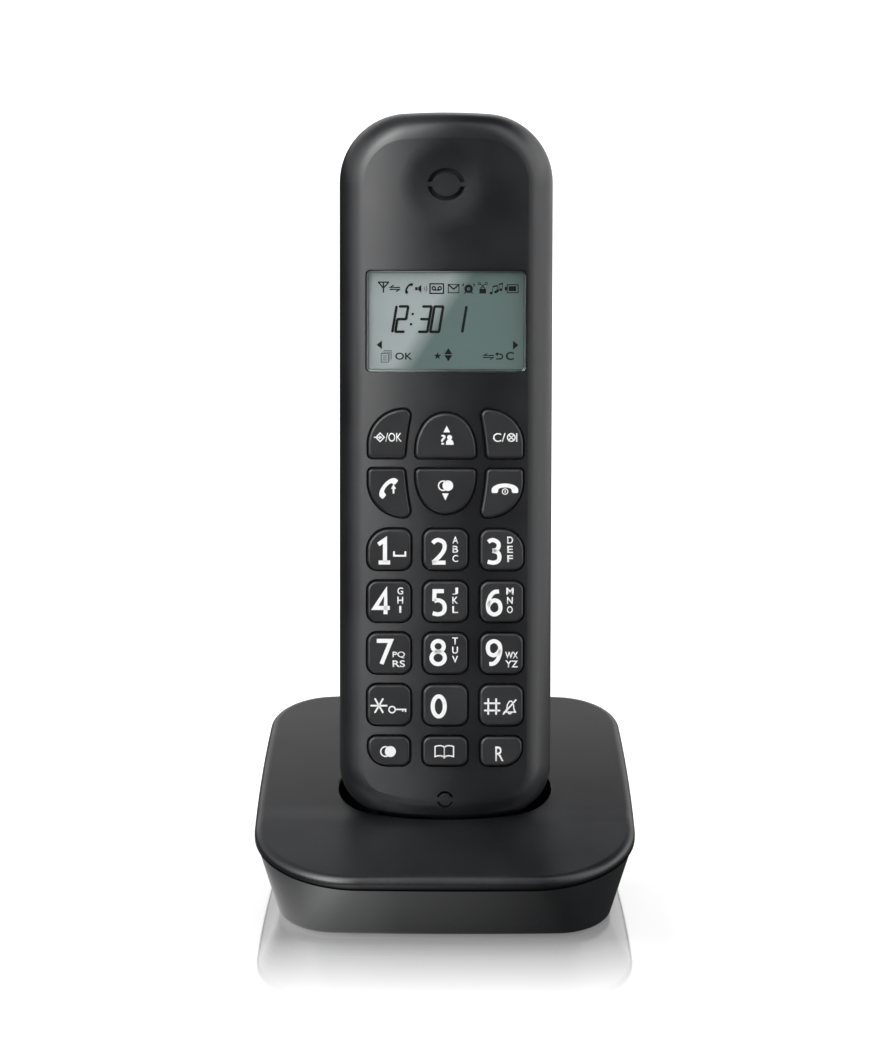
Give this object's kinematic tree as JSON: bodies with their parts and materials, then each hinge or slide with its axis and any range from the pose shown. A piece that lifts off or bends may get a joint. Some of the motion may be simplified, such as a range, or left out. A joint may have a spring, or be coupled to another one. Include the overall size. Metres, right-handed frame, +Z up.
{
  "type": "cordless telephone",
  "caption": "Black cordless telephone handset with display and keypad, standing upright in its charging base.",
  "frame": {"origin": "middle of the base's footprint, on the plane the feet rest on", "axes": "+Z up, -Y towards the user who faces the keypad, +X to the user's right"},
  "size_m": [0.0866, 0.0868, 0.1727],
  "materials": {
    "casing": "satin moulded plastic",
    "key_plastic": "satin moulded plastic",
    "foot_rubber": "matte",
    "membrane_rubber": "matte",
    "lens": "clear",
    "display_glass": "grey-green",
    "board": "solder resist",
    "component": "matte",
    "socket_plastic": "matte",
    "tin": "tinned",
    "screw_steel": "zinc plated",
    "gold": "plated",
    "capacitor_foil": "satin",
    "unit_metal": "satin",
    "cell_sleeve": "shrink sleeve"
  },
  "bodies": {
    "base": {"base_lower_shell": "casing", "base_upper_shell": "casing", "base_feet": "foot_rubber", "base_screws": "screw_steel", "base_board": "board", "base_shield": "tin", "base_chip": "component", "base_capacitors": "capacitor_foil", "base_aerial": "tin", "line_socket": "socket_plastic", "line_contacts": "gold", "power_socket": "socket_plastic", "power_contacts": "gold", "page_switch": "component", "pin_barrels": "component"},
    "charge_pins": {"charge_pins": "gold"},
    "page_button": {"page_button": "key_plastic"},
    "handset": {"handset_front_shell": "casing", "handset_rear_shell": "casing", "charge_pads": "gold", "battery_cells": "cell_sleeve", "battery_plates": "tin", "battery_springs": "tin", "display_window": "lens", "display_panel": "display_glass", "display_frame": "component", "display_connector": "membrane_rubber", "keypad_membrane": "membrane_rubber", "keypad_domes": "tin", "handset_board": "board", "handset_shield": "tin", "handset_chip": "component", "handset_aerial": "tin", "earpiece": "unit_metal", "microphone": "unit_metal", "ringer": "unit_metal", "handset_screws": "screw_steel"},
    "battery_cover": {"battery_cover": "casing"},
    "key_menu_ok": {"key_menu_ok": "key_plastic"},
    "key_up": {"key_up": "key_plastic"},
    "key_clear": {"key_clear": "key_plastic"},
    "key_talk": {"key_talk": "key_plastic"},
    "key_down": {"key_down": "key_plastic"},
    "key_end": {"key_end": "key_plastic"},
    "key_1": {"key_1": "key_plastic"},
    "key_2": {"key_2": "key_plastic"},
    "key_3": {"key_3": "key_plastic"},
    "key_4": {"key_4": "key_plastic"},
    "key_5": {"key_5": "key_plastic"},
    "key_6": {"key_6": "key_plastic"},
    "key_7": {"key_7": "key_plastic"},
    "key_8": {"key_8": "key_plastic"},
    "key_9": {"key_9": "key_plastic"},
    "key_star": {"key_star": "key_plastic"},
    "key_0": {"key_0": "key_plastic"},
    "key_hash": {"key_hash": "key_plastic"},
    "key_redial": {"key_redial": "key_plastic"},
    "key_phonebook": {"key_phonebook": "key_plastic"},
    "key_recall": {"key_recall": "key_plastic"}
  },
  "joints": [
    {"name": "handset_lift", "type": "slide", "parent": "base", "child": "handset", "axis": [0, 0.2756, 0.9613], "range_m": [0, 0.08]},
    {"name": "charge_pin_press", "type": "slide", "parent": "base", "child": "charge_pins", "axis": [0, -0.2756, -0.9613], "range_m": [0, 0.0008], "stiffness_N_per_m": 600},
    {"name": "page_press", "type": "slide", "parent": "base", "child": "page_button", "axis": [0, -1, 0], "range_m": [0, 0.0006], "stiffness_N_per_m": 1500},
    {"name": "cover_open", "type": "hinge", "parent": "handset", "child": "battery_cover", "pos_m": [0, 0.01072, 0.04008], "axis": [-1, 0, 0], "range_deg": [0, 35]},
    {"name": "key_menu_ok_press", "type": "slide", "parent": "handset", "child": "key_menu_ok", "axis": [0, 0.9613, -0.2756], "range_m": [0, 0.0006], "stiffness_N_per_m": 1500},
    {"name": "key_up_press", "type": "slide", "parent": "handset", "child": "key_up", "axis": [0, 0.9613, -0.2756], "range_m": [0, 0.0006], "stiffness_N_per_m": 1500},
    {"name": "key_clear_press", "type": "slide", "parent": "handset", "child": "key_clear", "axis": [0, 0.9613, -0.2756], "range_m": [0, 0.0006], "stiffness_N_per_m": 1500},
    {"name": "key_talk_press", "type": "slide", "parent": "handset", "child": "key_talk", "axis": [0, 0.9613, -0.2756], "range_m": [0, 0.0006], "stiffness_N_per_m": 1500},
    {"name": "key_down_press", "type": "slide", "parent": "handset", "child": "key_down", "axis": [0, 0.9613, -0.2756], "range_m": [0, 0.0006], "stiffness_N_per_m": 1500},
    {"name": "key_end_press", "type": "slide", "parent": "handset", "child": "key_end", "axis": [0, 0.9613, -0.2756], "range_m": [0, 0.0006], "stiffness_N_per_m": 1500},
    {"name": "key_1_press", "type": "slide", "parent": "handset", "child": "key_1", "axis": [0, 0.9613, -0.2756], "range_m": [0, 0.0006], "stiffness_N_per_m": 1500},
    {"name": "key_2_press", "type": "slide", "parent": "handset", "child": "key_2", "axis": [0, 0.9613, -0.2756], "range_m": [0, 0.0006], "stiffness_N_per_m": 1500},
    {"name": "key_3_press", "type": "slide", "parent": "handset", "child": "key_3", "axis": [0, 0.9613, -0.2756], "range_m": [0, 0.0006], "stiffness_N_per_m": 1500},
    {"name": "key_4_press", "type": "slide", "parent": "handset", "child": "key_4", "axis": [0, 0.9613, -0.2756], "range_m": [0, 0.0006], "stiffness_N_per_m": 1500},
    {"name": "key_5_press", "type": "slide", "parent": "handset", "child": "key_5", "axis": [0, 0.9613, -0.2756], "range_m": [0, 0.0006], "stiffness_N_per_m": 1500},
    {"name": "key_6_press", "type": "slide", "parent": "handset", "child": "key_6", "axis": [0, 0.9613, -0.2756], "range_m": [0, 0.0006], "stiffness_N_per_m": 1500},
    {"name": "key_7_press", "type": "slide", "parent": "handset", "child": "key_7", "axis": [0, 0.9613, -0.2756], "range_m": [0, 0.0006], "stiffness_N_per_m": 1500},
    {"name": "key_8_press", "type": "slide", "parent": "handset", "child": "key_8", "axis": [0, 0.9613, -0.2756], "range_m": [0, 0.0006], "stiffness_N_per_m": 1500},
    {"name": "key_9_press", "type": "slide", "parent": "handset", "child": "key_9", "axis": [0, 0.9613, -0.2756], "range_m": [0, 0.0006], "stiffness_N_per_m": 1500},
    {"name": "key_star_press", "type": "slide", "parent": "handset", "child": "key_star", "axis": [0, 0.9613, -0.2756], "range_m": [0, 0.0006], "stiffness_N_per_m": 1500},
    {"name": "key_0_press", "type": "slide", "parent": "handset", "child": "key_0", "axis": [0, 0.9613, -0.2756], "range_m": [0, 0.0006], "stiffness_N_per_m": 1500},
    {"name": "key_hash_press", "type": "slide", "parent": "handset", "child": "key_hash", "axis": [0, 0.9613, -0.2756], "range_m": [0, 0.0006], "stiffness_N_per_m": 1500},
    {"name": "key_redial_press", "type": "slide", "parent": "handset", "child": "key_redial", "axis": [0, 0.9613, -0.2756], "range_m": [0, 0.0006], "stiffness_N_per_m": 1500},
    {"name": "key_phonebook_press", "type": "slide", "parent": "handset", "child": "key_phonebook", "axis": [0, 0.9613, -0.2756], "range_m": [0, 0.0006], "stiffness_N_per_m": 1500},
    {"name": "key_recall_press", "type": "slide", "parent": "handset", "child": "key_recall", "axis": [0, 0.9613, -0.2756], "range_m": [0, 0.0006], "stiffness_N_per_m": 1500}
  ]
}
